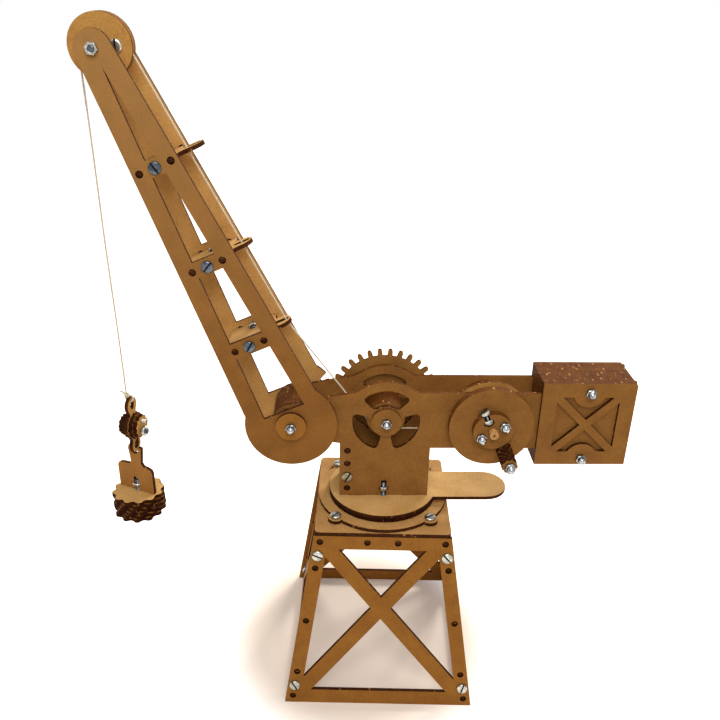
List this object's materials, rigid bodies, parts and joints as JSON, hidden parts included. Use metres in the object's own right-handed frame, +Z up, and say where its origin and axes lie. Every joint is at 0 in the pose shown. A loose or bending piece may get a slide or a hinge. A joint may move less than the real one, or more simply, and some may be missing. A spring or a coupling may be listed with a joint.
{
  "type": "hand cranked crane model",
  "caption": "Laser-cut fibreboard tower crane with a slewing turret, geared luffing jib, crank winch, string over a head pulley, hook and scalloped load.",
  "frame": {"origin": "middle of the crane's bounding box at floor level, in line with the slewing axis front to back", "axes": "+Z up, the crane's tallest extent; +X from the hanging load to the counterweight; +Y away from the crank side"},
  "size_m": [0.3874, 0.1498, 0.4906],
  "materials": {
    "fibreboard": "matt medium density fibreboard, laser cut",
    "scorched_board": "burnt laser-cut board edges",
    "dowel": "plain turned dowel",
    "zinc": "bright zinc plated steel",
    "twine": "undyed twisted twine"
  },
  "bodies": {
    "tower": {"slew_pivot_bolt": "zinc", "tower_back_panel": "fibreboard", "tower_front_panel": "fibreboard", "tower_left_panel": "fibreboard", "tower_right_panel": "fibreboard", "tower_shelf_plate": "fibreboard", "tower_top_plate": "fibreboard", "turntable_ring": "fibreboard"},
    "turret": {"arm_spacer_drum": "fibreboard", "center_acorn_nut": "zinc", "center_axle": "zinc", "center_washer_front": "fibreboard", "counterweight_back_frame": "fibreboard", "counterweight_bolt_lower": "zinc", "counterweight_bolt_upper": "zinc", "counterweight_core": "fibreboard", "counterweight_front_frame": "fibreboard", "jib_acorn_nut_front": "zinc", "jib_pivot_bolt": "zinc", "jib_spacer_back": "fibreboard", "jib_spacer_front": "fibreboard", "jib_washer_back": "fibreboard", "jib_washer_front": "fibreboard", "string_lower_run": "twine", "turntable_disc": "fibreboard", "turntable_handle": "fibreboard", "turntable_rotor": "fibreboard", "turret_back_plate": "fibreboard", "turret_cross_wall": "fibreboard", "turret_front_plate": "fibreboard"},
    "roller": {"center_roller": "fibreboard"},
    "gear": {"luff_gear": "fibreboard", "luff_gear_hub": "fibreboard"},
    "winch": {"winch_axle": "dowel", "winch_back_flange": "fibreboard", "winch_drum": "fibreboard", "winch_front_flange": "fibreboard", "winch_spacer_washer": "fibreboard", "crank_disc": "fibreboard", "crank_hub": "fibreboard", "crank_knob_bolt": "zinc"},
    "knob": {"crank_knob": "scorched_board"},
    "jib": {"jib_front_plate": "fibreboard", "jib_back_plate": "fibreboard", "jib_eye_plate_lower": "fibreboard", "jib_eye_plate_middle": "fibreboard", "jib_eye_plate_upper": "fibreboard", "head_bolt": "zinc", "head_spacer_front": "fibreboard", "head_spacer_back": "fibreboard", "string_jib_run": "twine"},
    "pulley": {"pulley_front_flange": "fibreboard", "pulley_core": "fibreboard", "pulley_back_flange": "fibreboard"},
    "fall": {"string_fall": "twine"},
    "hook": {"hook_plate": "fibreboard", "hook_discs_left": "scorched_board", "hook_discs_right": "scorched_board"},
    "load": {"load_plate": "fibreboard", "load_discs": "scorched_board"}
  },
  "joints": [
    {"name": "slew", "type": "hinge", "parent": "tower", "child": "turret", "pos_m": [0.0147, 0, 0.1475], "axis": [0, 0, 1], "continuous": true},
    {"name": "jib_luff", "type": "hinge", "parent": "turret", "child": "jib", "pos_m": [-0.0538, 0, 0.2212], "axis": [0, 1, 0], "range_deg": [-36, 14], "deforming": ["string_lower_run"]},
    {"name": "luff_gear_turn", "type": "hinge", "parent": "turret", "child": "gear", "pos_m": [0.0147, 0, 0.2212], "axis": [0, 1, 0], "range_deg": [-11.5, 28]},
    {"name": "fall_plumb", "type": "hinge", "parent": "jib", "child": "fall", "pos_m": [-0.16309, 0, 0.47137], "axis": [0, 1, 0], "range_deg": [-15, 37]},
    {"name": "winch_turn", "type": "hinge", "parent": "turret", "child": "winch", "pos_m": [0.0901, 0, 0.2212], "axis": [0, 1, 0], "range_deg": [-590, 430]},
    {"name": "knob_spin", "type": "hinge", "parent": "winch", "child": "knob", "pos_m": [0.1003, -0.036, 0.2037], "axis": [0, 1, 0], "continuous": true},
    {"name": "roller_turn", "type": "hinge", "parent": "turret", "child": "roller", "pos_m": [0.0147, 0, 0.2212], "axis": [0, 1, 0], "range_deg": [-595, 435]},
    {"name": "pulley_turn", "type": "hinge", "parent": "jib", "child": "pulley", "pos_m": [-0.16309, 0, 0.47137], "axis": [0, 1, 0], "range_deg": [-450, 616]},
    {"name": "hook_travel", "type": "slide", "parent": "fall", "child": "hook", "axis": [0, 0, 1], "range_m": [-0.1095, 0.15], "deforming": ["string_fall"]},
    {"name": "load_swing", "type": "hinge", "parent": "hook", "child": "load", "pos_m": [-0.1723, 0, 0.1911], "axis": [0.9659, -0.2588, 0], "range_deg": [-12, 12]}
  ],
  "couplings": [
    {"joint": "luff_gear_turn", "follows": "jib_luff", "ratio": -0.75},
    {"joint": "fall_plumb", "follows": "jib_luff", "ratio": -1},
    {"joint": "roller_turn", "follows": "winch_turn", "ratio": 1},
    {"joint": "pulley_turn", "follows": "winch_turn", "ratio": -1.0357},
    {"joint": "hook_travel", "follows": "winch_turn", "m_per_rad": -0.0145}
  ]
}
